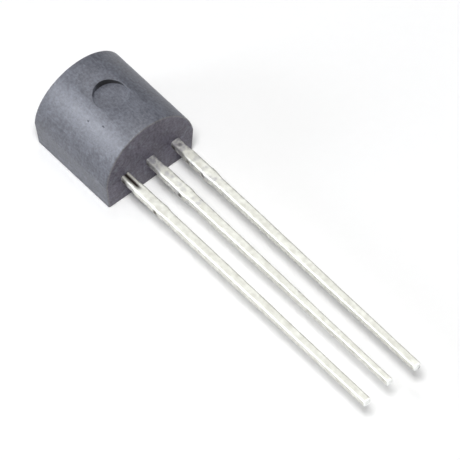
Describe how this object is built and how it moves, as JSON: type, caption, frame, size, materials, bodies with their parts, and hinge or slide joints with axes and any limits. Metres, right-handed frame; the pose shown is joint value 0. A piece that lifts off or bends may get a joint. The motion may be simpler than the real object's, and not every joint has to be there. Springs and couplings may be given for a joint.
{
  "type": "voltage reference chip",
  "caption": "Leaded voltage reference chip: half-round moulded epoxy body with a flat side and a row of straight solder-dipped leads from one end.",
  "frame": {"origin": "centre of the flat side, which lies on the surface", "axes": "+X along the leads, out of the body; +Z out of the round side; pin 1 is on the +Y side"},
  "size_m": [0.0191, 0.0044, 0.0034],
  "materials": {
    "epoxy": "dark grey moulding compound, fine matte grain",
    "dipped_lead": "hot-dipped solder over a stamped strip, bright and slightly lumpy",
    "silver_adhesive": "silver-filled epoxy adhesive",
    "silicon": "passivated silicon, blue-grey",
    "gold_wire": "drawn gold wire"
  },
  "bodies": {
    "root": {"moulded_body": "epoxy", "pin_1_lead": "dipped_lead", "pin_2_lead": "dipped_lead", "pin_3_lead": "dipped_lead", "die_attach": "silver_adhesive", "silicon_die": "silicon", "pin_1_bond_wire": "gold_wire", "pin_3_bond_wire": "gold_wire"}
  },
  "joints": []
}
